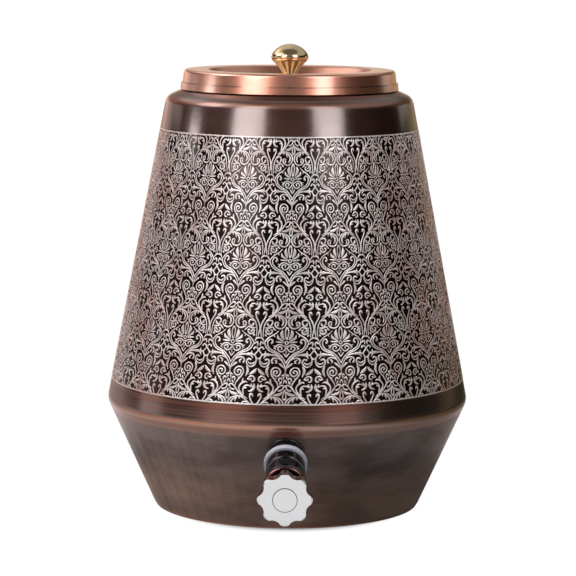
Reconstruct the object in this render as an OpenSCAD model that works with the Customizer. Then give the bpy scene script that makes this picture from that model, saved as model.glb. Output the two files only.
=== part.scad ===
// Copper water dispenser: a two-cone copper vessel with a lift-off lid and a screw-down tap.
// Millimetres, +Z up, origin at the middle of the foot, tap towards -Y.

/* [Vessel] */
// Radius of the wall where it meets the table
base_r = 91.6; // [86:0.2:98]
// Radius at which the two cones of the body would meet
belly_r = 125; // [119:0.5:131]
// Height at which the two cones of the body would meet
belly_z = 74; // [70:0.5:80]
// Radius at which the upper cone would meet the sloping shoulder
shoulder_r = 84.6; // [82:0.2:90]
// Height at which the upper cone would meet the sloping shoulder
shoulder_z = 283.2; // [270:0.2:300]
// Rise of the shoulder above the level, in degrees
shoulder_slope = 24; // [20:0.5:30]
// Outside radius of the neck that the lid goes over
neck_r = 68; // [64:0.5:69]
// Height from the foot of the neck to the middle of its rolled rim
neck_h = 7.7; // [7:0.1:10]
// Thickness of the copper sheet of the body
wall = 1; // [0.8:0.1:1.2]
// Rounding of the belly
belly_round = 10; // [7:1:14]
// Rounding between the upper cone and the shoulder
shoulder_round = 8; // [5:0.5:9]
// Rounding at the foot of the neck
neck_round = 2; // [1.5:0.5:3]
// Rounding at the bottom of the wall
foot_round = 2; // [1.5:0.5:3]
// Width of the lip that the wall turns in at its bottom
foot_lip = 3.2; // [3:0.2:6]
// Radius of the wire inside the rolled rim
wire_r = 1; // [0.8:0.1:1.2]
// Thickness of the plate that closes the bottom, soldered under the lip
base_t = 1.2; // [1:0.1:2]
// How far the plate's edge stands in from the wall
base_inset = 0.4; // [0.2:0.1:1]
// Distance from the belly up the wall to the seam between the two shells
seam_rise = 10; // [8.5:0.5:12]
// Length of the tongue of the lower shell behind the seam
seam_lap = 6; // [4:0.5:7]

/* [Lid] */
// Thickness of the lid's sheet
lid_t = 0.9; // [0.7:0.1:1.1]
// How much wider the lid's skirt is at its bottom than at its top
lid_flare = 1.5; // [0.6:0.1:2]
// Rounding of the lid's top edge
lid_round = 2.2; // [1.6:0.1:2.4]
// Height of the band round the bottom of the skirt
band_h = 4.6; // [4:0.2:6]
// Thickness of that band
band_t = 0.9; // [0.6:0.1:1.2]
// Radius of the sunk dish at its lip
dish_r = 56; // [51:0.5:59]
// Radius of the dish's floor
dish_floor_r = 49.5; // [43:0.5:50]
// Depth of the dish below the lid's top
dish_depth = 9; // [7:0.5:9.5]
// Rounding of the dish's lip
dish_lip_round = 2.6; // [2:0.2:3]
// Rounding round the dish's floor
dish_floor_round = 3; // [2:0.5:4]

/* [Lid knob] */
// Height of the knob above the dish's floor
knob_h = 26.5; // [24:0.5:32]
// Radius of the knob at the edge of its dome
knob_r = 12.8; // [12:0.1:14]
// Height from the edge of the dome to the knob's top
knob_dome_h = 8.8; // [7:0.2:9.6]
// Rounding of the dome's edge
knob_edge_round = 4; // [3:0.1:5]
// Where the stem leaves the rounded edge, in degrees below the level
knob_edge_turn = 45; // [35:1:50]
// Radius of the knob's waist
knob_waist_r = 3.9; // [3.6:0.1:4.8]
// Height of the waist above the dish's floor
knob_waist_z = 3.5; // [3:0.5:5]
// How far the stem swells out above the waist
knob_stem_swell = 0.7; // [0.4:0.1:1.2]
// Radius of the knob's foot
knob_foot_r = 6; // [5.4:0.2:7]
// Radius of the screw that holds the knob
lid_screw_r = 2; // [1.5:0.25:2.5]
// Length of that screw in the knob
lid_screw_len = 8; // [6:0.5:10]
// Radius of the screw's head
lid_screw_head_r = 3.6; // [3.2:0.2:4.2]
// Height of the screw's head
lid_screw_head_h = 2.2; // [1.6:0.2:2.6]
// Radius of the washer under the dish
lid_washer_r = 6; // [5:0.5:8]
// Thickness of the washer under the dish
lid_washer_t = 1; // [0.6:0.1:1.4]

/* [Tap on the wall] */
// Height of the tap's hole on the outside of the wall
tap_z = 56; // [54:0.5:58]
// Radius of the tap's shank, over its thread
shank_r = 8.33; // [7.8:0.01:8.6]
// Thickness of the flange of the black rubber gasket outside the wall
flange_t = 2.4; // [2:0.1:3]
// Radius of the gasket's flange
gasket_r = 12.7; // [12:0.1:13.2]
// Rounding of the flange's front edge
flange_round = 0.9; // [0.6:0.1:1.2]
// Thickness of the whole gasket with the sleeve in front of its flange
gasket_t = 10.3; // [9.8:0.1:10.8]
// Radius of the gasket's sleeve
sleeve_r = 11; // [10.4:0.1:11.4]
// Thickness of the white washer
spacer_t = 3.6; // [3.2:0.1:4]
// Radius of the white washer
spacer_r = 14.2; // [13.4:0.1:15]
// Thickness of the sealing washer inside the wall
seal_t = 2.5; // [2:0.25:3.5]
// Radius of the sealing washer inside the wall
seal_r = 13; // [12:0.5:15]
// Thickness of the metal washer inside
slip_t = 1.2; // [0.8:0.1:1.6]
// Radius of the metal washer inside
slip_r = 13; // [12:0.5:14]
// Width of the back nut across its flats
nut_flats = 22; // [20:0.5:24]
// Thickness of the back nut
nut_t = 6; // [4:0.5:8]
// Length of the shank past the back nut
shank_spare = 2; // [1:0.5:4]

/* [Tap body] */
// Radius of the ring that clamps the white washer
ring_r = 12.9; // [12.6:0.1:13.3]
// Length of that ring
ring_len = 7.8; // [7.4:0.1:8.2]
// Radius of the barrel in front of the ring
barrel_r = 12.1; // [11.8:0.1:12.3]
// Length of the barrel, which ends inside the valve chamber
barrel_len = 9.4; // [9:0.1:9.8]
// Width and depth of the groove between ring and barrel
groove = 0.6; // [0.4:0.1:0.9]
// Rounding of the ring's and the barrel's edges
barrel_round = 1.2; // [0.8:0.1:1.6]
// Distance from the wall to the middle of the valve chamber
valve_out = 35; // [34:0.25:37]
// How far the handle's axis points below the level, in degrees
handle_tilt = 5; // [0:0.5:9]
// Outside radius of the valve chamber
chamber_r = 13.6; // [13.3:0.1:14]
// Rounding of the chamber's front edge
chamber_round = 1.4; // [1:0.1:1.8]
// Inside radius of the valve chamber
chamber_bore_r = 8; // [7.6:0.1:8.2]
// Radius of the water way through the shank
water_r = 5.2; // [4.6:0.1:5.6]
// Radius of the hole in the valve seat
seat_bore_r = 4.4; // [4:0.1:4.6]
// Distance from the middle of the chamber back to the valve seat
seat_back = 5.5; // [5.2:0.1:6]
// Outside radius of the spout
spout_r = 6.4; // [6:0.1:6.8]
// Inside radius of the spout
spout_bore_r = 4; // [3.6:0.1:4.4]
// How far the spout stands behind the middle of the chamber
spout_back = 1.3; // [1:0.1:1.6]
// Height of the spout's mouth above the table
spout_z = 20; // [17:0.5:21]
// Height of the bead round the spout's mouth
spout_bead_h = 3; // [2:0.25:4]
// How far that bead stands out
spout_bead = 0.6; // [0.4:0.1:1]

/* [Tap valve] */
// Lead of the spindle's screw for one turn
lead = 2.54; // [2:0.02:2.7]
// Turns from closed to open
turns = 1.5; // [1:0.25:1.5]
// Radius of the rubber valve washer
valve_washer_r = 6.5; // [6:0.1:6.8]
// Thickness of the rubber valve washer
valve_washer_t = 2.5; // [2:0.1:3]
// Radius of the jumper's plate
jumper_r = 6.8; // [6.4:0.1:7]
// Thickness of the jumper's plate
jumper_t = 2; // [1.6:0.1:2.2]
// Radius of the jumper's stem
jumper_stem_r = 2; // [1.8:0.1:2.4]
// Length of the jumper's stem
jumper_stem_len = 4.6; // [4:0.1:5]
// Radius of the jumper's stud through the washer
stud_r = 1.5; // [1.2:0.1:1.8]
// Width across flats of the nut on the stud
stud_nut_flats = 5.5; // [5:0.1:6.4]
// Thickness of the nut on the stud
stud_nut_t = 2; // [1.6:0.1:2.4]
// Radius of the spindle's screw
screw_r = 5; // [4.6:0.1:5.2]
// Length of the spindle's screw
screw_len = 6; // [5.6:0.1:6.4]
// Radius of the spindle's stem
stem_r = 3.2; // [3:0.05:3.4]
// Width of the square end of the spindle
square_w = 4.2; // [3.6:0.1:4.4]
// Length of the bonnet's plug in the chamber's open end
plug_len = 2.4; // [2:0.1:4]
// Width of the bonnet's hexagon across its flats
bonnet_flats = 19; // [17:0.5:19.5]
// Thickness of the bonnet's hexagon
bonnet_hex_t = 4; // [3:0.1:5]
// Thickness of the fibre ring under the bonnet
fibre_t = 1; // [0.8:0.1:1.2]
// Outside radius of the bonnet's neck
bonnet_neck_r = 7; // [6.6:0.1:7.4]
// Length of the bonnet's neck
bonnet_neck_len = 7; // [6:0.25:8]
// Thickness of the floor under the gland packing
gland_floor = 0.8; // [0.6:0.1:1]
// Radius of the gland packing
packing_r = 4.9; // [4.6:0.1:5.2]
// Thickness of the gland packing
packing_t = 3; // [2:0.1:4]
// Distance from the bonnet's hexagon to the gland nut
gland_stand = 2; // [1:0.25:3]
// Thickness of the gland nut's top
gland_top = 1.6; // [1:0.1:2]
// Outside radius of the gland nut
gland_r = 8.4; // [8.2:0.1:9]

/* [Tap handle] */
// Number of lobes round the handle
lobes = 8; // [7:1:9]
// Radius over the handle's lobes
lobe_out_r = 17.7; // [17.3:0.1:18.2]
// Radius at the bottom of the hollows between the lobes
hollow_r = 14.9; // [14.4:0.1:15.2]
// Rounding of each lobe
lobe_round = 3.4; // [3:0.1:3.7]
// Distance from the middle of the chamber to the handle's face
face_out = 34; // [32:0.25:36]
// Depth of the handle from its face to its rim
handle_h = 9; // [8.6:0.1:10]
// Radius of the hollow in the handle's back
handle_bore_r = 12.5; // [11:0.1:13]
// Depth of the hollow in the handle's back
handle_bore_depth = 4; // [3:0.1:5]
// Radius of the hub behind the handle
hub_r = 6.4; // [6:0.1:7]
// Length of spindle inside the hub before its square end
hub_sleeve = 3; // [2:0.25:4]
// Bevel round the handle's face
handle_bevel = 1; // [0.6:0.1:1.4]
// Radius of the round cap in the handle's face
cap_r = 7.6; // [7.2:0.1:8.2]
// Thickness of the cap
cap_t = 1.4; // [1:0.1:1.6]
// How far the cap stands out of the face
cap_proud = 0.3; // [0:0.1:0.6]
// Width of the gap round the cap
cap_gap = 0.4; // [0.3:0.05:0.5]
// Radius of the handle screw
handle_screw_r = 1.4; // [1.2:0.1:1.5]
// Length of the handle screw in the spindle
handle_screw_len = 5; // [4:0.25:6]
// Radius of the handle screw's head
handle_screw_head_r = 3.2; // [2.8:0.1:3.6]
// Height of the handle screw's head
handle_screw_head_h = 1.6; // [1.2:0.1:1.8]
// Thickness of the handle's web under the screw's head
handle_web = 1.2; // [1:0.1:1.4]

/* [Fits] */
// Gap left for solder or a thread between pieces that stay together
fit = 0.05; // [0.03:0.01:0.1]
// Gap round a piece that turns or slides in another
run = 0.06; // [0.05:0.01:0.09]
// Gap between the rolled rim and the lid that rests over it
seat_gap = 0.3; // [0.2:0.05:0.5]
// Gap between the rolled rim and the lid's skirt
lid_clear = 0.5; // [0.4:0.05:0.8]
// Gap between the lid's band and the shoulder
lid_gap = 0.35; // [0.3:0.05:0.6]
// Gap round the shank in the wall's hole
hole_clear = 0.3; // [0.2:0.05:0.5]
// Gap between the gland nut and the handle's hub
hub_gap = 0.8; // [0.5:0.1:1.5]
// Gap between the jumper and the end of the spindle
jumper_gap = 0.3; // [0.3:0.05:0.5]

/* [Hidden] */
$fn = 96;
arc_steps = 10;

patina = [0.24, 0.15, 0.12];
bright_copper = [0.78, 0.48, 0.38];
brass = [0.83, 0.68, 0.32];
chrome = [0.80, 0.81, 0.83];
black_rubber = [0.06, 0.06, 0.06];
white_nylon = [0.88, 0.89, 0.93];
red_fibre = [0.55, 0.18, 0.14];

// Places on the vessel
wall_tilt = atan((belly_r - base_r) / belly_z);
function wall_r(z) = base_r + (belly_r - base_r) * z / belly_z;
function shoulder_at(r) = shoulder_z + (shoulder_r - r) * tan(shoulder_slope);
neck_foot_z = shoulder_at(neck_r);
rim_z = neck_foot_z + neck_h;
rim_in_r = wire_r + fit;
rim_tube_r = rim_in_r + wall;
rim_mid_r = neck_r - wall + rim_tube_r;
belly_corner = [belly_r, belly_z];
shoulder_corner = [shoulder_r, shoulder_z];
upper_dir = (shoulder_corner - belly_corner) / norm(shoulder_corner - belly_corner);
seam_point = belly_corner + seam_rise * upper_dir;

// Places on the lid
lid_under_z = rim_z + rim_tube_r + seat_gap;
lid_top_z = lid_under_z + lid_t;
lid_top_r = rim_mid_r + rim_tube_r + lid_clear + lid_t;
band_out_r = lid_top_r + lid_flare + fit + band_t;
band_z = shoulder_at(band_out_r - band_t) + lid_gap;
skirt_z = shoulder_at(lid_top_r + lid_flare - lid_t) + lid_gap;
function skirt_r(z) = lid_top_r + lid_flare * (lid_top_z - z) / (lid_top_z - band_z);
dish_z = lid_top_z - dish_depth;
knob_bore_r = lid_screw_r + fit;

// Places along the shank, measured out from the wall
ring_s = gasket_t + spacer_t;
barrel_s = ring_s + ring_len;
barrel_end_s = barrel_s + barrel_len;
seal_s = -wall - seal_t;
slip_s = seal_s - slip_t;
nut_s = slip_s - nut_t;
shank_end_s = nut_s - shank_spare;
hole_r = shank_r + hole_clear;
bend = wall_tilt - handle_tilt;
water_end_s = valve_out - (seat_back + wall + water_r * sin(bend)) / cos(bend);
chamber_middle = [0, -wall_r(tap_z) - valve_out * cos(wall_tilt), tap_z - valve_out * sin(wall_tilt)];

// Places along the handle's axis, measured out from the middle of the chamber
seat_q = -seat_back;
jumper_q = seat_q + valve_washer_t;
jumper_top_q = jumper_q + jumper_t;
screw_q = jumper_top_q + jumper_gap;
stem_q = screw_q + screw_len;
lift = lead * turns;
plug_q = jumper_top_q + lift + jumper_gap;
chamber_front = plug_q + plug_len;
bonnet_q = chamber_front + fibre_t;
bonnet_top_q = bonnet_q + bonnet_hex_t;
bonnet_end_q = bonnet_top_q + bonnet_neck_len;
gland_floor_q = stem_q + lift + jumper_gap;
packing_q = gland_floor_q + gland_floor;
gland_end_q = bonnet_end_q + gland_top;
plug_r = chamber_bore_r - fit;
cap_q = face_out + cap_proud - cap_t;
head_q = cap_q - handle_screw_head_h - fit;
web_q = head_q - handle_web;
handle_back_q = face_out - handle_h;
hub_q = gland_end_q + hub_gap;
square_q = hub_q + hub_sleeve;
cap_seat_r = cap_r + cap_gap;

// Helpers for profiles: a path runs up the outside, with the metal on its left
function unit(v) = v / norm(v);
function left_of(v) = [-v[1], v[0]];
function polar(middle, r, a) = middle + r * [cos(a), sin(a)];
function cross2(a, b) = a[0] * b[1] - a[1] * b[0];
function step_dir(path, i) = unit(path[i + 1] - path[i]);
function turn_angle(a, b) = atan2(cross2(a, b), a * b);
function is_inner(path, i) = i > 0 && i < len(path) - 1;

// The points of the arc that rounds one corner of a path
function corner_arc(path, i, r) =
    let (
        a = step_dir(path, i - 1),
        b = step_dir(path, i),
        turn = turn_angle(a, b),
        side = turn > 0 ? 1 : -1,
        start = path[i] - a * r * tan(abs(turn) / 2),
        middle = start + side * r * left_of(a)
    )
    [for (k = [0:arc_steps])
        let (t = turn * k / arc_steps, v = start - middle)
        middle + [v[0] * cos(t) - v[1] * sin(t), v[0] * sin(t) + v[1] * cos(t)]];

// A path with each of its corners rounded by its own radius
function rounded(path, radii) = [
    for (i = [0:len(path) - 1])
        for (p = is_inner(path, i) && radii[i] > 0 ? corner_arc(path, i, radii[i]) : [path[i]]) p
];

// A path moved to its left by a thickness
function moved_left(path, t) = [
    for (i = [0:len(path) - 1])
        let (
            a = left_of(step_dir(path, max(i - 1, 0))),
            b = left_of(step_dir(path, min(i, len(path) - 2)))
        )
        path[i] + t * (a + b) / (1 + a * b)
];

// The roundings of the moved path: tighter where it turns left, wider where it turns right
function moved_radii(path, radii, t) = [
    for (i = [0:len(path) - 1])
        !is_inner(path, i) || radii[i] == 0 ? 0
        : turn_angle(step_dir(path, i - 1), step_dir(path, i)) > 0 ? radii[i] - t
        : radii[i] + t
];

function reversed(list) = [for (i = [len(list) - 1:-1:0]) list[i]];
function sheet_profile(path, radii, t) = concat(
    rounded(path, radii),
    reversed(rounded(moved_left(path, t), moved_radii(path, radii, t)))
);

// A spun sheet: a path turned about the axis, with a thickness
module spun_sheet(path, radii, t) {
    rotate_extrude() polygon(sheet_profile(path, radii, t));
}

// A round bar from one place to another along its own axis
module bar(r, from, to) {
    translate([0, 0, from]) cylinder(r = r, h = to - from);
}

// A flat ring
module ring(r, bore, from, to) {
    difference() {
        bar(r, from, to);
        bar(bore, from - wall, to + wall);
    }
}

module hexagon_bar(flats, from, to) {
    translate([0, 0, from]) cylinder(d = flats / cos(30), h = to - from, $fn = 6);
}

// The tap's shank axis: Z points out of the wall, square to it
module on_wall() {
    translate([0, -wall_r(tap_z), tap_z]) rotate([90 + wall_tilt, 0, 0]) children();
}

// The handle's axis: Z points out of the valve chamber towards the handle's face
module on_handle() {
    translate(chamber_middle) rotate([90 + handle_tilt, 0, 0]) children();
}

// The cone of the lower wall as a solid, grown by an amount square to the wall
module wall_cone(grow) {
    out = grow / cos(wall_tilt);
    cylinder(r1 = base_r + out, r2 = belly_r + out, h = belly_z, $fn = 4 * $fn);
}

// The upper cone, the shoulder and the neck, whose top edge is rolled round a wire
module upper_shell() {
    path = [seam_point, shoulder_corner, [neck_r, neck_foot_z], [neck_r, rim_z]];
    color(patina) {
        difference() {
            spun_sheet(path, [0, shoulder_round, neck_round, 0], wall);
            rim_ring(rim_in_r);
        }
        difference() {
            rim_ring(rim_tube_r);
            rim_ring(rim_in_r);
        }
    }
}

module rim_ring(r) {
    rotate_extrude() translate([rim_mid_r, rim_z]) circle(r);
}

module rim_wire() {
    color(brass) rim_ring(wire_r);
}

// The foot's lip, the lower cone and the belly, with a tongue that goes behind the upper shell
module lower_shell() {
    edge = seam_point - fit * upper_dir;
    tongue = edge + (wall + fit) * left_of(upper_dir);
    path = [
        [wall_r(base_t) - foot_lip, base_t], [wall_r(base_t), base_t], belly_corner,
        edge, tongue, tongue + seam_lap * upper_dir
    ];
    color(patina) difference() {
        spun_sheet(path, [0, foot_round, belly_round, 0, 0, 0], wall);
        on_wall() bar(hole_r, seal_s - wall, gasket_t);
    }
}

module base_plate() {
    color(bright_copper) bar(base_r - base_inset, 0, base_t);
}

// The lid: skirt, flat top and sunk dish in one sheet
module lid_cap() {
    path = [
        [skirt_r(skirt_z), skirt_z], [lid_top_r, lid_top_z], [dish_r, lid_top_z],
        [dish_floor_r, dish_z], [knob_bore_r, dish_z]
    ];
    color(bright_copper) spun_sheet(path, [0, lid_round, dish_lip_round, dish_floor_round, 0], lid_t);
}

// The band round the bottom of the skirt
module lid_band() {
    function inside(z) = skirt_r(z) + fit;
    top = band_z + band_h;
    color(bright_copper) rotate_extrude() polygon([
        [inside(band_z), band_z], [inside(band_z) + band_t, band_z],
        [inside(top) + band_t, top], [inside(top), top]
    ]);
}

// The brass knob: a dome with a round edge on a hollow-sided stem
module lid_knob() {
    top_z = dish_z + knob_h;
    edge_mid = [knob_r - knob_edge_round, top_z - knob_dome_h];
    // Radius of the dome's ball, which touches the round of its edge from inside
    dome_r = (edge_mid[0] * edge_mid[0] + knob_dome_h * knob_dome_h - knob_edge_round * knob_edge_round)
        / (2 * (knob_dome_h - knob_edge_round));
    dome_mid = [0, top_z - dome_r];
    touch = atan2(edge_mid[1] - dome_mid[1], edge_mid[0]);
    waist = [knob_waist_r, dish_z + knob_waist_z];
    under = edge_mid + knob_edge_round * [cos(knob_edge_turn), -sin(knob_edge_turn)];
    bend = waist + [knob_stem_swell, (under[1] - waist[1]) * 0.35];
    dome = [for (k = [0:2 * arc_steps]) polar(dome_mid, dome_r, 90 + (touch - 90) * k / (2 * arc_steps))];
    edge = [for (k = [1:arc_steps - 1])
        polar(edge_mid, knob_edge_round, touch - (touch + knob_edge_turn) * k / arc_steps)];
    // The stem's side leaves the dome at a slant and ends upright at the waist
    stem = [for (k = [0:arc_steps])
        let (t = k / arc_steps) under * (1 - t) * (1 - t) + 2 * bend * t * (1 - t) + waist * t * t];
    color(brass) difference() {
        rotate_extrude() polygon(concat(dome, edge, stem, [[knob_foot_r, dish_z], [0, dish_z]]));
        bar(knob_bore_r, dish_z - wall, dish_z + lid_screw_len + fit);
    }
}

module lid_knob_washer() {
    top = dish_z - lid_t;
    color(brass) ring(lid_washer_r, knob_bore_r, top - lid_washer_t, top);
}

module lid_knob_screw() {
    head_top = dish_z - lid_t - lid_washer_t;
    color(brass) {
        bar(lid_screw_r, head_top - lid_screw_head_h / 2, dish_z + lid_screw_len);
        bar(lid_screw_head_r, head_top - lid_screw_head_h, head_top);
    }
}

// The black gasket: a flange, hollowed at its back to the round of the wall, with a sleeve in front
module wall_gasket() {
    path = [[gasket_r, -flange_t], [gasket_r, flange_t], [sleeve_r, flange_t], [sleeve_r, gasket_t]];
    color(black_rubber) difference() {
        on_wall() rotate_extrude() polygon(concat(
            [[hole_r, -flange_t]], rounded(path, [0, flange_round, 0, 0]), [[hole_r, gasket_t]]
        ));
        wall_cone(fit);
    }
}

module white_washer() {
    color(white_nylon) on_wall() ring(spacer_r, shank_r + fit, gasket_t, ring_s);
}

// The sealing washer inside, rounded at its back to the inside of the wall
module inner_seal() {
    color(black_rubber) intersection() {
        on_wall() ring(seal_r, shank_r + fit, seal_s, 0);
        wall_cone(-wall - fit);
    }
}

module slip_washer() {
    color(brass) on_wall() ring(slip_r, shank_r + fit, slip_s, seal_s);
}

module back_nut() {
    color(brass) on_wall() difference() {
        hexagon_bar(nut_flats, nut_s, slip_s);
        bar(shank_r + fit, nut_s - wall, slip_s + wall);
    }
}

// The outside of the tap: shank, clamping ring and barrel on the wall's axis
module tap_barrel() {
    path = [
        [shank_r, ring_s], [ring_r, ring_s], [ring_r, barrel_s - groove],
        [barrel_r - groove, barrel_s], [barrel_r, barrel_s + groove],
        [barrel_r, barrel_end_s], [shank_r, barrel_end_s + barrel_round]
    ];
    radii = [0, groove, barrel_round, 0, 0, barrel_round, 0];
    bar(shank_r, shank_end_s, barrel_end_s);
    rotate_extrude() polygon(concat([[0, ring_s]], rounded(path, radii), [[0, path[6][1]]]));
}

// The valve chamber's outside: a round back and an open front with a rounded edge
module tap_chamber() {
    back = -chamber_r / 2;
    path = [[chamber_r, back], [chamber_r, chamber_front], [0, chamber_front]];
    rotate_extrude() polygon(concat([[0, back]], rounded(path, [0, chamber_round, 0])));
    translate([0, 0, back]) sphere(r = chamber_r);
}

module tap_spout() {
    bar(spout_r, spout_z, chamber_middle[2] - bonnet_flats / 2 - wall);
    rotate_extrude() polygon(concat(
        [[0, spout_z]],
        rounded(
            [[spout_r, spout_z], [spout_r + spout_bead, spout_z],
             [spout_r + spout_bead, spout_z + spout_bead_h], [spout_r, spout_z + spout_bead_h + spout_bead]],
            [0, spout_bead / 2, spout_bead / 2, 0]
        ),
        [[0, spout_z + spout_bead_h]]
    ));
}

// Places the spout's upright axis
module on_spout() {
    translate([0, chamber_middle[1] + spout_back, 0]) children();
}

// The chrome tap: one casting with the water way, valve seat and chamber cut in it
module tap_body() {
    color(chrome) difference() {
        union() {
            on_wall() tap_barrel();
            on_handle() tap_chamber();
            on_spout() tap_spout();
        }
        on_wall() bar(water_r, shank_end_s - wall, water_end_s);
        on_handle() {
            bar(seat_bore_r, seat_q - 1.5 * seat_bore_r, seat_q + wall);
            bar(chamber_bore_r, seat_q, chamber_front + chamber_r);
        }
        on_spout() bar(spout_bore_r, spout_z - wall, chamber_middle[2] - chamber_bore_r / 2);
    }
}

// The bonnet screws into the chamber and guides the spindle
module bonnet() {
    color(chrome) on_handle() difference() {
        union() {
            bar(plug_r, plug_q, bonnet_top_q);
            hexagon_bar(bonnet_flats, bonnet_q, bonnet_top_q);
            bar(bonnet_neck_r, bonnet_q, bonnet_end_q);
        }
        bar(screw_r + run, plug_q - wall, gland_floor_q);
        bar(stem_r + run, plug_q, bonnet_end_q + wall);
        bar(packing_r + fit, packing_q, bonnet_end_q + wall);
    }
}

module bonnet_fibre_ring() {
    color(red_fibre) on_handle() ring(bonnet_flats / 2, plug_r + fit, chamber_front, bonnet_q);
}

module gland_packing() {
    color(white_nylon) on_handle() ring(packing_r, stem_r + run, packing_q, packing_q + packing_t);
}

// The cap nut whose sleeve presses on the packing
module gland_nut() {
    color(brass) on_handle() difference() {
        bar(gland_r, bonnet_top_q + gland_stand, gland_end_q);
        ring(bonnet_neck_r + fit, packing_r, bonnet_top_q, bonnet_end_q);
        bar(packing_r + wall, bonnet_top_q, packing_q + packing_t);
        bar(stem_r + run, bonnet_top_q, gland_end_q + wall);
    }
}

// The jumper carries the rubber washer and rests in the spindle's end without turning
module jumper() {
    color(brass) on_handle() {
        bar(jumper_r, jumper_q, jumper_top_q);
        bar(jumper_stem_r, jumper_top_q - jumper_t / 2, jumper_top_q + jumper_stem_len);
        bar(stud_r, seat_q - stud_nut_t, jumper_q + jumper_t / 2);
    }
}

module valve_washer() {
    color(black_rubber) on_handle() ring(valve_washer_r, stud_r + fit, seat_q, jumper_q);
}

module jumper_nut() {
    color(brass) on_handle() difference() {
        hexagon_bar(stud_nut_flats, seat_q - stud_nut_t, seat_q);
        bar(stud_r + fit, seat_q - stud_nut_t - wall, seat_q + wall);
    }
}

// The spindle: screw inside the bonnet, stem through the gland and a square for the handle
module spindle() {
    color(brass) on_handle() difference() {
        union() {
            bar(screw_r, screw_q, stem_q);
            bar(stem_r, stem_q - wall, square_q);
            square_bar(square_w, square_q - wall, web_q);
        }
        bar(jumper_stem_r + run, screw_q - wall, jumper_top_q + jumper_stem_len + jumper_gap);
        bar(handle_screw_r + fit, web_q - handle_screw_len - fit, web_q + wall);
    }
}

module square_bar(w, from, to) {
    translate([-w / 2, -w / 2, from]) cube([w, w, to - from]);
}

// The outline of the handle: round lobes joined by hollows that run smoothly into them
module lobed_outline() {
    lobe_mid_r = lobe_out_r - lobe_round;
    half = 180 / lobes;
    // Radius of the hollow's arc that touches both neighbouring lobes
    hollow_round = (lobe_mid_r * lobe_mid_r + hollow_r * hollow_r
            - 2 * lobe_mid_r * hollow_r * cos(half) - lobe_round * lobe_round)
        / (2 * (lobe_round - hollow_r + lobe_mid_r * cos(half)));
    hollow_mid = (hollow_r + hollow_round) * [cos(half), sin(half)];
    touch = [lobe_mid_r, 0] + lobe_round * unit(hollow_mid - [lobe_mid_r, 0]);
    difference() {
        circle(norm(touch));
        for (i = [0:lobes - 1]) rotate(i * 360 / lobes) translate(hollow_mid) circle(hollow_round);
    }
    for (i = [0:lobes - 1]) rotate(i * 360 / lobes) translate([lobe_mid_r, 0]) circle(lobe_round);
}

// The chrome handle, hollow round its hub, with a seat for the cap in its face
module handle() {
    bevel_path = [
        [lobe_out_r - handle_bevel, handle_back_q], [lobe_out_r, handle_back_q + handle_bevel],
        [lobe_out_r, face_out - handle_bevel], [lobe_out_r - handle_bevel, face_out]
    ];
    color(chrome) on_handle() difference() {
        union() {
            difference() {
                intersection() {
                    translate([0, 0, handle_back_q]) linear_extrude(handle_h) rotate(90) lobed_outline();
                    rotate_extrude() polygon(concat([[0, handle_back_q]], bevel_path, [[0, face_out]]));
                }
                bar(handle_bore_r, handle_back_q - wall, handle_back_q + handle_bore_depth);
            }
            bar(hub_r, hub_q, face_out - cap_t);
        }
        bar(stem_r + fit, hub_q - wall, square_q);
        square_bar(square_w + 2 * fit, square_q - wall, web_q);
        bar(handle_screw_r + fit, web_q - wall, face_out);
        bar(handle_screw_head_r + cap_gap, head_q, face_out);
        bar(cap_seat_r, cap_q - fit, face_out + wall);
    }
}

module handle_screw() {
    color(brass) on_handle() {
        bar(handle_screw_r, web_q - handle_screw_len, head_q + handle_screw_head_h / 2);
        bar(handle_screw_head_r, head_q, head_q + handle_screw_head_h);
    }
}

module handle_cap() {
    color(chrome) on_handle() bar(cap_r, cap_q, cap_q + cap_t);
}

upper_shell();
lower_shell();
base_plate();
rim_wire();
lid_cap();
lid_band();
lid_knob();
lid_knob_washer();
lid_knob_screw();
wall_gasket();
white_washer();
inner_seal();
slip_washer();
back_nut();
tap_body();
bonnet();
bonnet_fibre_ring();
gland_packing();
gland_nut();
jumper();
valve_washer();
jumper_nut();
spindle();
handle();
handle_screw();
handle_cap();
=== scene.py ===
# %% [markdown]
# # A copper water dispenser
# The vessel is spun from copper sheet in two shells that meet at the widest ring. Its skin is bronzed
# nearly black, and a broad band of damask is etched round the upper cone. This script dresses the solids
# of the CAD model: each piece keeps its place, and only looks are added.

# %% Load the frame
import math

import bpy
import numpy as np
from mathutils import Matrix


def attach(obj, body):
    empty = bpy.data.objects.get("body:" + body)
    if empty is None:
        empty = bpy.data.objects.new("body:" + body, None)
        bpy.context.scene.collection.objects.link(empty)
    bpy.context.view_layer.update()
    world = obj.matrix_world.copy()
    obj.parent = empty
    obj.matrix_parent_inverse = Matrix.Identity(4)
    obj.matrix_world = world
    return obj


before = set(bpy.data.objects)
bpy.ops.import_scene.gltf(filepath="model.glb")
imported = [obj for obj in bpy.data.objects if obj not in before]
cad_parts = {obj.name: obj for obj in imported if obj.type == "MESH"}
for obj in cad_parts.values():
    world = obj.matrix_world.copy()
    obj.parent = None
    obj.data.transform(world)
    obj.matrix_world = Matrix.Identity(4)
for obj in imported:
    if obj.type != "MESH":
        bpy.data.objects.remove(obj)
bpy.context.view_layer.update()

# %% [markdown]
# ## Sizes
# Everything here is in metres. The cone's two ends are the sizes of the CAD source, and the rest places
# the etched band on it. The band's pattern was measured off the photograph: twenty columns round, and one
# repeat for each 53.6 mm up the wall.

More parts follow.
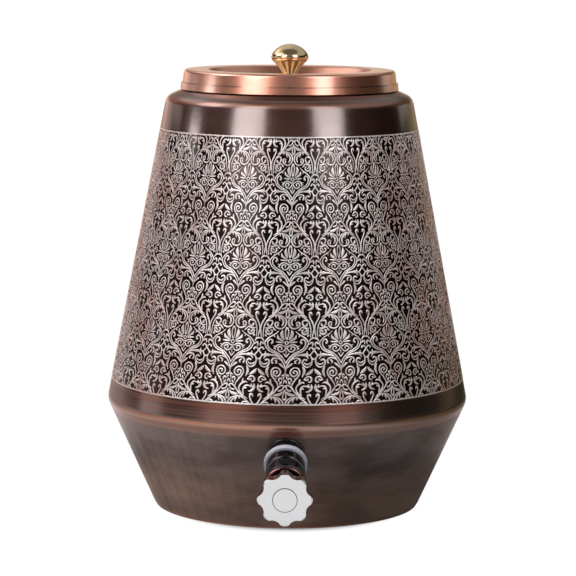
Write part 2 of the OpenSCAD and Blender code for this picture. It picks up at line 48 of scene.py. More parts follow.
# %% Sizes
BELLY_R, BELLY_Z = 0.125, 0.074
SHOULDER_R, SHOULDER_Z = 0.0846, 0.2832
BAND_LOW, BAND_HIGH = 0.0891, 0.2612
COLUMNS = 20
PERIOD = 0.0536
ROSETTE_Z = 0.1815
LINE_UP, LINE_SUNK = 0.00013, 0.00003
TILT = math.atan2(BELLY_R - SHOULDER_R, SHOULDER_Z - BELLY_Z)
BAND_SLANT = (BAND_HIGH - BAND_LOW) / math.cos(TILT)
BAND_FOOT_R = BELLY_R - (BAND_LOW - BELLY_Z) * math.tan(TILT)
ROSETTE_UP = (ROSETTE_Z - BAND_LOW) / math.cos(TILT)
TILE_W = 2 * math.pi * (BAND_FOOT_R - 0.5 * BAND_SLANT * math.sin(TILT)) / COLUMNS
print("wall leans", round(math.degrees(TILT), 2), "degrees; tile", round(TILE_W * 1000, 1), "mm wide")

# %% [markdown]
# ## Node helpers
# A shader or a geometry tree is a sum written in boxes. The small class below lets the sum be written as
# a sum: it holds one output, and each operator makes the node for it.


# %% Node helpers
class Sock:
    """One output of a node tree that can be added, multiplied and compared like a number."""

    def __init__(self, tree, out):
        self.tree, self.out = tree, out

    def math(self, op, *others, clamp=False):
        return sum_node(self.tree, op, (self, *others), clamp)

    def __add__(self, o): return self.math("ADD", o)
    def __radd__(self, o): return self.math("ADD", o)
    def __sub__(self, o): return self.math("SUBTRACT", o)
    def __rsub__(self, o): return sum_node(self.tree, "SUBTRACT", (o, self))
    def __mul__(self, o): return self.math("MULTIPLY", o)
    def __rmul__(self, o): return self.math("MULTIPLY", o)
    def __truediv__(self, o): return self.math("DIVIDE", o)
    def __rtruediv__(self, o): return sum_node(self.tree, "DIVIDE", (o, self))
    def __pow__(self, o): return self.math("POWER", o)
    def __rpow__(self, o): return sum_node(self.tree, "POWER", (o, self))
    def __neg__(self): return self.math("MULTIPLY", -1.0)
    def __abs__(self): return self.math("ABSOLUTE")
    def sin(self): return self.math("SINE")
    def cos(self): return self.math("COSINE")

    def step(self, low, high):
        """0 below low, 1 above high and a smooth ramp between."""
        return make(self.tree, "ShaderNodeMapRange", {"Value": self, "From Min": low, "From Max": high},
                    interpolation_type="SMOOTHSTEP")

    def near(self, place, reach):
        """1 at a place, and 0 further than reach from it."""
        return 1.0 - abs(self - place).step(0.0, reach)


def put(tree, socket, value):
    """Links a Sock to a socket, or sets the socket to a plain value."""
    if isinstance(value, Sock):
        tree.links.new(value.out, socket)
    else:
        socket.default_value = value


def make(tree, kind, inputs=None, out=0, **settings):
    """Makes one node: its settings, then its inputs by name or number, as values or links."""
    node = tree.nodes.new(kind)
    for key, value in settings.items():
        setattr(node, key, value)
    for key, value in (inputs or {}).items():
        put(tree, node.inputs[key], value)
    return Sock(tree, node.outputs[out])


def sum_node(tree, op, values, clamp=False):
    return make(tree, "ShaderNodeMath", dict(enumerate(values)), operation=op, use_clamp=clamp)


def mix(tree, share, a, b):
    """The colour between a and b."""
    node = tree.nodes.new("ShaderNodeMix")
    node.data_type = "RGBA"
    for key, value in (("Factor_Float", share), ("A_Color", a), ("B_Color", b)):
        socket = next(s for s in node.inputs if s.identifier == key)
        put(tree, socket, value)
    return Sock(tree, next(s for s in node.outputs if s.identifier == "Result_Color"))


def split(tree, vector):
    node = tree.nodes.new("ShaderNodeSeparateXYZ")
    put(tree, node.inputs[0], vector)
    return [Sock(tree, o) for o in node.outputs]


def join(tree, x, y, z):
    return make(tree, "ShaderNodeCombineXYZ", {0: x, 1: y, 2: z})


print("node helpers ready")

# %% [markdown]
# ## Materials
# Each finish is worked out from the place on the object, in its own coordinates. Spinning leaves fine
# rings on sheet metal, so the copper finishes read a noise that is stretched far along the ring. Each
# finish is a small graph that leads to one shader, and a class keeps what all of them need.


# %% Material helpers
def rgb(r, g, b):
    return (r, g, b, 1.0)


def darker(colour, share):
    return rgb(*(c * share for c in colour[:3]))


class Finish:
    """A new material with its shader and the place on the object ready to read."""

    def __init__(self, name, **constants):
        self.material = bpy.data.materials.new(name)
        self.material.use_nodes = True
        self.tree = self.material.node_tree
        self.tree.nodes.clear()
        self.end = self.tree.nodes.new("ShaderNodeOutputMaterial")
        self.shader = self.tree.nodes.new("ShaderNodeBsdfPrincipled")
        self.tree.links.new(self.shader.outputs[0], self.end.inputs[0])
        self.x, self.y, self.z = split(self.tree, make(self.tree, "ShaderNodeTexCoord", out="Object"))
        self.constants(constants)

    def constants(self, values):
        for key, value in values.items():
            self.set(key.replace("_", " "), value)

    def layer(self, share, **constants):
        """Lays a second shader over the first where share is 1, and sets that one from now on."""
        under = Sock(self.tree, self.end.inputs[0].links[0].from_socket)
        self.shader = self.tree.nodes.new("ShaderNodeBsdfPrincipled")
        over = Sock(self.tree, self.shader.outputs[0])
        both = make(self.tree, "ShaderNodeMixShader", {0: share, 1: under, 2: over})
        self.tree.links.new(both.out, self.end.inputs[0])
        self.constants(constants)

    def set(self, key, value):
        put(self.tree, self.shader.inputs[key], value)
        return self

    def mix(self, share, a, b):
        return mix(self.tree, share, a, b)

    def away(self):
        """How far a place lies from the vessel's axis."""
        return (self.x * self.x + self.y * self.y) ** 0.5

    def noise(self, across, up, detail=2.0, rough=0.5):
        """A noise with so many grains to the metre across the object and up it."""
        where = join(self.tree, self.x * across, self.y * across, self.z * up)
        return make(self.tree, "ShaderNodeTexNoise",
                    {"Vector": where, "Scale": 1.0, "Detail": detail, "Roughness": rough})

    def streaks(self, around, up):
        """A noise in streaks that run up the wall, with so many grains to each radian and to the metre up."""
        away = self.away() + 1e-6
        where = join(self.tree, self.x / away * around, self.y / away * around, self.z * up)
        return make(self.tree, "ShaderNodeTexNoise", {"Vector": where, "Scale": 1.0, "Detail": 2.0})

    def bump(self, height, depth):
        return self.set("Normal", make(self.tree, "ShaderNodeBump",
                                       {"Height": height, "Strength": 1.0, "Distance": depth}))


print("material helpers ready")

# %% [markdown]
# ### Worn copper
# The vessel's skin is dark, and copper shines through where hands and polishing wear it: along the belly's
# ridge, in the turned lines of the plain band over it, at the foot and on the shoulder's edge. Each pair of
# heights below is where a zone begins to fade in and where it is full.

# %% Worn copper
FOOT_EDGE = (0.0006, 0.003)
RIDGE_UNDER, RIDGE_LOW, RIDGE_HIGH = (0.0660, 0.0690), (0.0690, 0.0720), (0.0745, 0.0765)
SHOULDER_EDGE, SHOULDER_REACH = 0.2815, 0.003


def worn_share(f, turned, patches, right, plain):
    """How much copper shows through: on the ridge, foot, shoulder's edge and in the plain band's lines."""
    crest = f.z.step(*RIDGE_LOW) - f.z.step(*RIDGE_HIGH)
    under = f.z.step(*RIDGE_UNDER) - f.z.step(*RIDGE_LOW)
    ridge = (crest * 0.9 + under * 0.7) * (0.4 + (turned - 0.35).step(0.0, 0.35) * 0.6)
    foot = 1.0 - f.z.step(*FOOT_EDGE)
    edge = f.z.near(SHOULDER_EDGE, SHOULDER_REACH)
    lines = plain * (turned - 0.46).step(0.0, 0.12)
    worn = (ridge + foot * 0.4 + edge * 0.5) * (0.6 + patches * 0.8) + lines * 0.3
    # Painted shade: less copper shows on the right, so that side stays darker.
    return worn.math("MINIMUM", 1.0) * (1.0 - right * (0.35 + plain * 0.65))


print("worn from", FOOT_EDGE[0], "to", SHOULDER_EDGE, "m up")

# %% [markdown]
# ### Bronzed copper
# The skin is copper that a bath has turned nearly black and that a cloth has brushed afterwards. It mirrors
# like dark metal. The bowl is stained and paler, and its pale tone is painted lighter and warmer towards the
# bottom as painted light. The right side and the shoulder under the lid are painted darker as painted shade.
# Inside the etched band the ground lies deeper and is blacker, so it gets a shader of its own, laid over the
# first by height.

# %% Bronzed copper
BOWL_RISE, BOWL_TOP = (0.02, 0.05), (0.066, 0.071)
PLAIN_FOOT, SHOULDER_TOP = (0.0765, 0.0785), (0.2825, 0.2845)
DARK_SKIN, RED_SKIN = rgb(0.055, 0.019, 0.012), rgb(0.15, 0.053, 0.033)
RIGHT_PAINTED_SHADE, SHOULDER_PAINTED_SHADE = rgb(0.007, 0.004, 0.003), rgb(0.010, 0.006, 0.005)
STAIN, PALE_LOW, PALE_HIGH = rgb(0.045, 0.028, 0.022), rgb(0.42, 0.27, 0.20), rgb(0.31, 0.25, 0.24)
WORN_COPPER = rgb(0.55, 0.23, 0.14)
GROUND, RED_GROUND = rgb(0.003, 0.001, 0.0008), rgb(0.020, 0.006, 0.004)
GROUND_ROUGH = 0.17
RING_DEPTH, BAND_EDGE = 0.00002, 0.0001


def bronzed(name, band):
    """The skin of one shell; band says whether it carries the etched band."""
    f = Finish(name, IOR=2.65 if band else 2.9,
               Specular_Tint=rgb(1.0, 0.84, 0.83) if band else rgb(1.0, 0.83, 0.79))
    rings = f.noise(5, 1900, 3.0, 0.6)
    broad = f.noise(9, 160)
    patches = f.noise(26, 16, 3.0, 0.6)
    mottle = f.noise(15, 24, 3.0)
    turned = f.noise(9, 700)
    blotch = f.noise(17, 40, 4.0, 0.62)
    brushed = f.streaks(14, 6)
    right = f.x.step(-0.01, 0.09)
    left = 1.0 - f.x.step(-0.07, -0.01)
    bowl = 1.0 - f.z.step(*BOWL_TOP)
    plain = f.z.step(*PLAIN_FOOT) - f.z.step(BAND_LOW - 0.002, BAND_LOW)
    worn = worn_share(f, turned, patches, right, plain)
    red = (patches - 0.5).step(0.0, 0.16) * 0.3 + (rings - 0.5).step(0.05, 0.2) * 0.2
    red = red + bowl * (brushed - 0.4) * 0.6
    tone = f.mix(red.math("MINIMUM", 1.0, clamp=True), DARK_SKIN, RED_SKIN)
    # Painted shade: the right side is darkened nearly to black.
    tone = f.mix(right * (0.85 + plain * 0.13), tone, RIGHT_PAINTED_SHADE)
    # Painted shade: the shoulder under the lid is darkened.
    tone = f.mix(f.z.step(*SHOULDER_TOP) * 0.85, tone, SHOULDER_PAINTED_SHADE)
    stain = blotch * 1.1 + (brushed - 0.5) * left * 0.5 + (turned - 0.5) * 0.12 - 0.3
    # Painted light: the bowl's pale tone is lighter and warmer towards the bottom.
    pale = f.mix(f.z.step(*BOWL_RISE), PALE_LOW, PALE_HIGH)
    tone = f.mix(bowl * 0.6, tone, f.mix(stain.step(0.0, 0.5), STAIN, pale))
    colour = f.mix(worn, tone, WORN_COPPER)
    bare = (worn * 0.8).math("MAXIMUM", bowl * 0.5)
    dull = 0.17 + (broad - 0.5) * 0.1 + worn * 0.08 + bowl * (0.08 + mottle * 0.12)

    def skin():
        f.set("Base Color", colour).set("Metallic", bare).set("Roughness", dull).bump(rings, RING_DEPTH)

    skin()
    if band:
        warm = f.x.step(-0.112, -0.090) - f.x.step(0.055, 0.085)
        below = 1.0 - f.z.step(BAND_LOW - 0.001, BAND_LOW)
        f.layer(warm * below, IOR=2.9, Specular_Tint=rgb(1.0, 0.62, 0.54))
        skin()
        low, high = (f.z.step(edge - BAND_EDGE, edge + BAND_EDGE) for edge in (BAND_LOW, BAND_HIGH))
        f.layer(low - high, IOR=1.5, Specular_Tint=rgb(1.0, 0.75, 0.73))
        f.set("Base Color", f.mix((patches - 0.45).step(0.0, 0.3), GROUND, RED_GROUND))
        f.set("Roughness", GROUND_ROUGH)
    return f.material


UPPER = bronzed("bronzed upper", True)
LOWER = bronzed("bronzed lower", False)
print("two bronzed skins")

# %% [markdown]
# ### Etched lines
# The etched lines are bare metal with a frosted face, so they stay pale from every side. Their colour is
# painted silvery in front and more coppery on the flanks, as painted reflection, and darker in one stretch at
# the upper left, as painted shade. They are more frosted at the far right. A half-metal shader gives both the
# shine and the scattered light.


# %% Etched lines
def etched():
    f = Finish("etched line")
    tone = (f.noise(40, 30) - 0.35).step(0.0, 0.3)
    across = f.x / f.away()
    # Painted reflection: the lines are silvery in front and coppery on the flanks.
    flank = abs(across).step(0.3, 0.85)
    # Painted shade: one stretch at the upper left is darkened.
    painted_shade_left = across.near(-0.66, 0.25) * f.z.step(0.13, 0.20) * 0.24
    frosted = across.step(0.68, 0.92) * f.z.step(0.09, 0.14)
    silvery = f.mix(tone, rgb(0.86, 0.77, 0.77), rgb(0.96, 0.96, 0.97))
    coppery = f.mix(tone, rgb(0.92, 0.65, 0.61), rgb(0.99, 0.86, 0.84))
    f.set("Base Color", f.mix(painted_shade_left, f.mix(flank, silvery, coppery), rgb(0.05, 0.04, 0.04)))
    f.set("Metallic", 0.52 - frosted * 0.45)
    f.set("Roughness", 0.30 + (tone - 0.5) * 0.06)
    return f.material


ETCHED = etched()
print("etched lines")

# %% [markdown]
# ### Bare metals
# The lid is plain copper, spun and then lacquered: it has faint rings, shallow dents and a clear coat. Its
# band is pressed on, which leaves a dark seam. Brass is polished. The knob's stem carries painted
# reflections:
# light and dark upright stripes in its colour stand for the room that it mirrors.

# %% Bare metals
SEAM_Z, SEAM_REACH, SEAM_R = 0.2929, 0.0008, (0.066, 0.068)
STEM_TOP = (0.3068, 0.3082)
STEM_STRIPES, STEM_TURN = 14.0, 0.222


def plain_copper():
    f = Finish("copper", Metallic=1.0, Coat_Weight=1.0, Coat_IOR=2.8, Coat_Roughness=0.2)
    rings = f.noise(6, 2400, 3.0, 0.6)
    swell = f.noise(46, 60)
    tone = f.noise(20, 90)
    broken = (f.noise(60, 20) - 0.3).step(0.0, 0.3)
    seam = f.z.near(SEAM_Z, SEAM_REACH) * f.away().step(*SEAM_R) * broken
    colour = f.mix(tone, rgb(0.84, 0.29, 0.15), rgb(0.91, 0.36, 0.21))
    f.set("Base Color", f.mix(seam * 0.95, colour, rgb(0.06, 0.03, 0.025)))
    f.set("Roughness", 0.29 + (rings - 0.5) * 0.04)
    f.bump(rings * 0.02 + swell * 3.0, 0.0001)
    return f.material


def polished(name, colour, rough):
    f = Finish(name, Metallic=1.0)
    haze = f.noise(120, 120)
    f.set("Base Color", f.mix(haze, darker(colour, 0.9), colour))
    f.set("Roughness", rough * (0.8 + haze * 0.4))
    return f.material


def knob_brass():
    f = Finish("knob brass")
    stem = 1.0 - f.z.step(*STEM_TOP)
    # Painted reflection: upright light and dark stripes round the stem.
    stripe = ((f.x.math("ARCTAN2", -f.y) + STEM_TURN) * STEM_STRIPES).cos().step(-0.3, 0.9)
    painted_reflections = f.mix(stripe, rgb(0.74, 0.55, 0.16), rgb(1.0, 1.0, 0.62))
    f.set("Base Color", f.mix(stem, rgb(0.90, 0.72, 0.44), painted_reflections))
    f.set("Metallic", 1.0 - stem * stripe * 0.9)
    f.set("Roughness", 0.13 + stem * (stripe * 0.4 - 0.06))
    return f.material


COPPER = plain_copper()
BRASS = polished("polished brass", rgb(0.86, 0.64, 0.30), 0.07)
KNOB = knob_brass()
print("copper, brass and the knob's brass")

# %% [markdown]
# ### The tap
# The tap is cast brass under chrome. The chamber behind the handle mirrors the dark bowl, so its chrome is
# kept dark, and its front edge has a rosy tone. The handle's face is bright, and its sides are painted darker
# as painted shade. The narrow gap round the cap in the face is painted dark as painted shade. The tones
# follow the handle's axis, so places are measured along it and away from it.

# %% Chrome
AXIS_POINT = (0.0, -0.148777, 0.041601)
AXIS = (0.0, -0.9961947, -0.0871557)
RIM_OUT, RIM_IN_R, RIM_OUT_R = (0.0028, 0.0042), (0.0105, 0.0115), (0.0137, 0.0140)
CAP_GAP_R, CAP_GAP_REACH = 0.0078, 0.00042
ROSY, PAINTED_SHADE_SIDES, PAINTED_SHADE_GAP = rgb(0.22, 0.11, 0.11), rgb(0.34, 0.34, 0.36), rgb(0.05, 0.05, 0.055)
CHROME_ROUGH = 0.07
FACE_BEHIND, FACE_BEFORE = 0.0014, 0.0010


def along_axis(f):
    """How far out a place lies along the handle's axis, and how far from that axis."""
    dy, dz = f.y - AXIS_POINT[1], f.z - AXIS_POINT[2]
    out = dy * AXIS[1] + dz * AXIS[2]
    across = dz * AXIS[1] - dy * AXIS[2]
    return out, (f.x * f.x + across * across) ** 0.5


FACE_OUT = max((v.co[1] - AXIS_POINT[1]) * AXIS[1] + (v.co[2] - AXIS_POINT[2]) * AXIS[2]
               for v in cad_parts["handle"].data.vertices)


def tap_chrome(name, colour, rosy, faced):
    """Chrome: rosy is 1 on the piece with the rosy rim, faced is 1 on those that make up the face."""
    f = Finish(name, Metallic=1.0)
    haze = f.noise(120, 120)
    out, away = along_axis(f)
    tone = f.mix(haze, darker(colour, 0.92), colour)
    rim = away.step(*RIM_IN_R) - away.step(*RIM_OUT_R)
    front = out.step(*RIM_OUT) * rim * rosy
    tone = f.mix(front, tone, ROSY)
    # Painted shade: the handle's sides behind the face are darker.
    sides = (1.0 - out.step(FACE_OUT - FACE_BEHIND, FACE_OUT - FACE_BEFORE)) * faced
    tone = f.mix(sides, tone, PAINTED_SHADE_SIDES)
    # Painted shade: the narrow gap round the cap is dark.
    gap = away.near(CAP_GAP_R, CAP_GAP_REACH) * faced
    f.set("Base Color", f.mix(gap, tone, PAINTED_SHADE_GAP))
    f.set("Roughness", CHROME_ROUGH * (0.8 + haze * 0.4) + front * 0.12)
    return f.material


CHROME = tap_chrome("chrome", rgb(0.72, 0.72, 0.735), 0.0, 1.0)
DARK_CHROME = tap_chrome("dark chrome", rgb(0.08, 0.086, 0.104), 1.0, 0.0)
SHADED_CHROME = tap_chrome("shaded chrome", rgb(0.30, 0.30, 0.32), 0.0, 0.0)
print("three chromes; the handle's face lies", round(FACE_OUT * 1000, 2), "mm out")

# %% [markdown]
# ### Washers
# Rubber and nylon washers seal the tap to the wall, and a fibre ring seals its bonnet. They are cut or
# moulded, not polished, so a fine grain breaks up their shine. The gasket's rubber is new and glossy.


# %% Washers
def matte(name, colour, rough, ior=1.5):
    f = Finish(name, IOR=ior)
    grain = f.noise(700, 700)
    f.set("Base Color", f.mix(grain, darker(colour, 0.85), colour))
    f.set("Roughness", rough + (grain - 0.5) * 0.1)
    return f.material


RUBBER = matte("black rubber", rgb(0.010, 0.010, 0.012), 0.06, 1.6)
NYLON = matte("white nylon", rgb(0.74, 0.77, 0.90), 0.45)
FIBRE = matte("red fibre", rgb(0.30, 0.06, 0.04), 0.7)
print("rubber, nylon and fibre")

# %% [markdown]
# ### Dressing the solids
# Each solid gets one material. Those inside the tap and the vessel show when the lid is off or the handle is
# screwed out, so they are dressed as well.

# %% Dress the nodes
dress = {
    "upper_shell": UPPER, "lower_shell": LOWER, "base_plate": LOWER, "rim_wire": COPPER, "lid_cap": COPPER,
    "lid_band": COPPER, "lid_knob": KNOB, "lid_knob_washer": BRASS, "lid_knob_screw": BRASS,
    "wall_gasket": RUBBER, "white_washer": NYLON, "inner_seal": RUBBER, "slip_washer": BRASS,
    "back_nut": BRASS, "tap_body": DARK_CHROME, "bonnet": SHADED_CHROME, "bonnet_fibre_ring": FIBRE,
    "gland_packing": NYLON, "gland_nut": BRASS, "jumper": BRASS, "valve_washer": RUBBER,
    "jumper_nut": BRASS, "spindle": BRASS, "handle": CHROME, "handle_screw": BRASS, "handle_cap": CHROME}
for node, material in dress.items():
    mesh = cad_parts[node].data
    mesh.materials.clear()
    mesh.materials.append(material)
print("materials on", len(dress), "CAD nodes")

# %% [markdown]
# ## The damask
# A damask tile is mirrored about its column, so half of it is enough. Each stroke below is a list of
# points, x from the column's axis and y down the tile, in hundredths of the tile, and then its width along
# the way in hundredths of the tile's width. An etcher would stop out these lines with varnish and let the
# acid lower the rest.

# %% Half a tile
HALF_TILE = [
    ("frame", [15.5,-14.5, 20.5,-11.2, 26,-9, 32,-6.6, 37,-3.2, 39.8,0, 38.5,3.2, 35.5,6.8, 31,9.6, 26,11.4,
               21,12.4, 16.5,14.4, 12,17.6, 8,21, 4.5,24.8, 1.5,29, 0,33.5],
     [1.2, 2.4, 2.2, 2.2, 2.4, 2.2, 2.2]),
    ("frame", [28.6,0.8, 25.6,-0.4, 26.2,-2.8, 28.4,-4.2, 31,-4, 33.8,-1.8, 34.6,0.4, 34,3.2, 32,5.6, 28,8.2,
               22,10.2, 17,11.8, 13,13.6, 9,16.2, 5,19.2, 2,22.5, 0,25.4], [4, 2.4, 2.2, 2.2, 2.2, 2.2, 2]),
    ("petal", [0,-19, 2.6,-15.5, 3,-12, 1.9,-7, 0.2,-3.5], [2.6, 2.2, 2, 2, 2]),
    ("petal", [4.5,-3.5, 7.8,-7.5, 9.6,-11.5, 8,-15.8], [1.2, 5.6, 6.6, 0.8]),
    ("petal", [5,-1.6, 11,-3.9, 16,-6, 17.2,-9.8], [1.2, 3.4, 5, 0.6]),
    ("petal", [4.6,-0.3, 12,-0.8, 19.6,-1.3], [1, 2.8, 3.4, 1.4]),
    ("rosette", [0,-2, 2.1,-1.3, 3,0, 2.1,1.4, 0,2], [1.8, 1.8]),
    ("scroll", [0.5,5.6, 3,8.6, 6.5,10.6, 11,10.6, 14.8,8.6, 15.2,6.2, 12.2,4.6, 8.8,5.2, 8.2,7.2, 10,8],
     [2, 2.4, 2.6, 2.4, 2]),
    ("scroll", [0.6,3.4, 2.6,4.9, 6,3.2, 10.5,2.2, 15.5,2.6, 19,4.6, 20.6,6.6, 18.8,8.8],
     [1.6, 2.2, 2.4, 2.6, 0.9]),
    ("leaf", [19.2,4.8, 24.2,3.6], [2.6, 0.9]),
    ("leaf", [20.4,6.4, 23.6,7], [2.6, 0.7]),
    ("drop", [0,8.8, 0,11, 0,14.2], [0.8, 3, 0.6]),
    ("drop", [5.2,12.4, 2.6,15, 0,17.4], [1.4, 2.2, 2.2]),
    ("arm", [9.5,18.8, 14,16.8, 20,15.2, 27,14.8, 33,14.6, 39,14.6, 43,15.4],
     [1.8, 2.2, 2.8, 3.4, 5.8, 3.6, 2.2]),
    ("arm", [43,15.4, 45.6,18, 46.8,21.5, 45.8,25.6, 43,28.4, 39,29.6, 34.5,29.2, 30.8,27, 29.2,24, 30.8,21.2,
             34,20.2, 37.5,21.6], [2.2, 2.4, 2.4, 2.4, 2.8, 3]),
    ("leaf", [44,23.5, 41.5,25.6, 38,26.2, 34.5,25.4, 32,23.5], [0.9, 2.2, 2.6, 2.2, 0.8]),
    ("leaf", [36,16, 38.6,17.4, 40.2,19.6], [2.4, 2.4, 0.8]),
    ("leaf", [37.4,14, 37.8,10.4], [3.6, 0.8]),
    ("curl", [7.5,21.5, 12,19.6, 17,18.6, 22,18.8, 24.8,20.6, 25,23, 23,25.4], [1.8, 2.2, 2.4, 3, 3]),
    ("curl", [20.4,20.6, 17.6,22, 15.8,23.8, 18.2,25.2], [1.4, 3, 2.6, 1.4]),
    ("leaf", [2,31, 6,28.4, 10,26, 12.8,25.2], [1.4, 3, 3.6, 0.8]),
    ("crossing", [50,9.2, 46.5,12.2, 43,15.2], [2.4, 2.4]),
    ("crossing", [44.6,17, 47.4,19.2, 50,20.2], [1.8, 2.4]),
    ("crossing", [50,8.8, 47.5,6.8, 44.5,5.6, 42,6.6, 41.2,8.4], [2.6, 2.2, 2.2, 3.6]),
    ("leaf", [47,-1, 47.7,1.5, 47.4,4.6], [1.4, 3.2, 0.8]),
    ("leaf", [47,-1.2, 44,0.2, 40.5,1.8], [1.2, 2.8, 1.4]),
    ("arch", [50,-5.8, 46.5,-5.6, 43.5,-4.2, 41.6,-1.4], [2.6, 3, 1.4]),
    ("leaf", [40.4,-10.2, 39.2,-9, 37.6,-7.4], [1.4, 4, 0.8]),
    ("leaf", [29.4,28.6, 32.4,32, 33.2,35.5, 31.6,38.8, 29.7,41.8], [0.8, 4.2, 4.6, 3, 0.9]),
    ("leaf", [49,31.6, 45.5,34.8, 41.5,37.2, 35.8,39.4], [0.8, 5.6, 5.6, 0.9]),
    ("curl", [33,45, 36,42.8, 39.5,41.2, 43.5,41.6, 46.4,44, 45.8,46.8, 42.8,48, 40.6,47],
     [1, 2.8, 2.8, 2.8, 1.8]),
    ("curl", [33.2,45, 37,45.4, 40.2,45, 40.4,43.6], [1.4, 3, 2.6, 1.4]),
    ("hook", [46,50.4, 46.8,54, 44.7,57.5, 41,59.4, 36.8,59.8], [1, 4.6, 4.8, 3.4, 1.6]),
    ("leaf", [44,54, 41.5,52.6, 40.6,50.4], [3, 3, 0.9]),
    ("hook", [42,54.6, 38.5,53.2, 33.5,52.6, 29.5,54, 27.3,57, 27.6,60.5, 29,64.6], [2.4, 2.6, 3, 2.8, 1.8]),
    ("hook", [27.8,57.6, 30,56, 33,56], [1.6, 2.4, 3.2]),
    ("leaf", [25.4,44, 25.7,46.4, 24.4,49], [0.9, 3.4, 2.4]),
    ("hook", [34,49.6, 31,48.2, 27.5,49, 23.5,50.8, 20.5,53.4, 19.6,56.2, 20.8,59.2, 24,62, 27.5,64.6],
     [1.2, 3.4, 3.2, 2.6, 2.6, 2.2]),
    ("spiral", [12.2,53.6, 12.6,51, 14.4,48.6, 17.2,45.8, 20.2,43.2, 23.2,40.4, 25.2,37, 24.6,33.6, 21.8,31.2,
                17.4,30.2, 12.8,31, 9.4,33.6, 8.6,36.6, 10.2,39.2, 13.8,40.8, 17.6,40.4, 20.6,38.4, 20.8,35.6,
                18.2,34.2, 15,34.4, 14,36.2, 16.2,37.6], [1.6, 2.4, 2.5, 2.5, 2.5, 2.5, 2.6, 2.6, 2.2]),
    ("leaf", [18.8,44, 15.2,43], [2.4, 0.9]),
    ("stem", [0,29.5, 0,32, 0,35, 0,37.5, 0,39.6], [6, 4, 1.6, 3.2, 4.6]),
    ("flower", [1.4,40.4, 3,42.4, 3.4,44.6], [1.2, 3, 0.9]),
    ("flower", [1,39, 4,39.4, 6.4,40.8], [3, 3, 0.9]),
    ("flower", [5.2,45.6, 7,43.2, 9.6,43.4, 11,45.6, 10,47.8], [1.6, 2.6, 2.8, 2.4, 1]),
    ("flower", [9.6,50.6, 7.4,49, 5.8,46.8], [1.2, 3.2, 1.2]),
    ("flower", [2.9,49.6, 1.6,47, 0,45.4], [2, 2.4, 2.2]),
    ("apex", [0,54.2, 2.2,52.4, 5,51.6, 8,52.6, 11,54.2, 14,56.8, 17,59.6, 20.5,62, 25,64.6, 31,67.2,
              36.4,69], [2.4, 2.6, 2.4, 2.6, 3.8, 0.9]),
    ("apex", [3.4,53.2, 2.8,55.2, 4.4,57, 7,58, 10,58.4, 11.8,57.6], [1.6, 2.2, 2.4, 3.4, 1.4]),
    ("pendant", [0.3,57, 1,60, 2.7,64.5, 2.5,67.6, 0.2,70], [1.8, 1.8, 2, 2.2, 2]),
    ("leaf", [3,59.4, 5.6,61.6, 9.5,63, 14,63.6, 18.8,64], [1.6, 4, 5.8, 4.4, 1.6]),
    ("acanthus", [43.6,93, 44,87, 43.4,82, 41.6,77.6, 39,74, 35,71.2, 30,69, 25,66.8, 20,66, 14.5,66.6,
                  9.5,67.8, 5,70, 2.2,73.4, 2.4,77, 5.2,80.4, 9.5,82.4, 14,82.6, 18,81.8, 21,80.6, 23,78,
                  21.8,75.4, 18.5,74.6, 15.2,76.2], [1.6, 2.2, 2.2, 2.2, 2.4, 2.6, 2.8, 2.8, 2.8, 1]),
    ("acanthus", [16,67.6, 11,70, 7.8,73, 7.6,76.2, 10.2,79.2], [1.4, 2.6, 3.2, 3.2, 1.4]),
    ("leaf", [17.6,67, 15.2,69.8, 14.5,73.2], [2.6, 3, 1]),
    ("leaf", [21.5,66.4, 22,69.8], [4.6, 1.2]),
    ("leaf", [17.7,76, 17.8,79.6], [1.4, 3.6]),
    ("curl", [38.5,73.8, 34.5,73, 30,72.6, 27.6,75, 28.8,78, 32.2,80.2], [1.4, 2.6, 2.8, 2.8, 1.8]),
    ("curl", [37,76, 36,78.6, 33,80.2], [1.8, 4.4, 1.8]),
    ("leaf", [41.6,81.8, 36,82.4, 30.5,81.4, 26.5,80.6], [1, 3.2, 3.4, 1.8]),
    ("curl", [38.4,83.6, 38.8,87, 36,89.2, 31.5,89.6, 27.8,87.6, 27.8,84.8, 30.8,84.6],
     [2.6, 3, 3, 2.8, 2.2]),
    ("curl", [36.4,83.4, 34.5,86, 31.6,87.2], [2.4, 2.6, 1]),
    ("leaf", [26.5,81, 23.8,83.6, 20.8,85.2], [2, 3, 1]),
    ("leaf", [24.2,90.4, 22,93], [2.8, 0.8]),
    ("stem", [45.6,66.2, 44.2,63.6, 41,63.4, 40.2,66.4, 42.4,70.4, 45.8,74.4, 48.4,78.6, 49.4,83],
     [1.2, 4.6, 2.8, 2.6, 2.6, 2.2]),
    ("stem", [50,79, 49.4,84, 48,88.5, 46.8,93.4], [2.2, 2.6, 2.4, 1]),
]
print("strokes in half a tile:", len(HALF_TILE), "of", len({kind for kind, *_ in HALF_TILE}), "kinds")

# %% [markdown]
# ## Strokes
# A hand draws a stroke in one sweep, so a smooth line is laid through its points. Strokes that run over the
# band's edge are cut there, as the etcher's mask cuts them.


# %% Strokes
def smooth(points, parts=2):
    """A curve through the points, with so many parts to each span."""
    p = np.asarray(points, float).reshape(-1, 2)
    q = np.vstack([2 * p[0] - p[1], p, 2 * p[-1] - p[-2]])
    out = []
    for i in range(len(p) - 1):
        a, b, c, d = q[i:i + 4]
        for t in np.arange(parts) / parts:
            out.append(0.5 * (2 * b + (c - a) * t + (2 * a - 5 * b + 4 * c - d) * t ** 2
                              + (3 * b - a - 3 * c + d) * t ** 3))
    return np.array(out + [p[-1]])


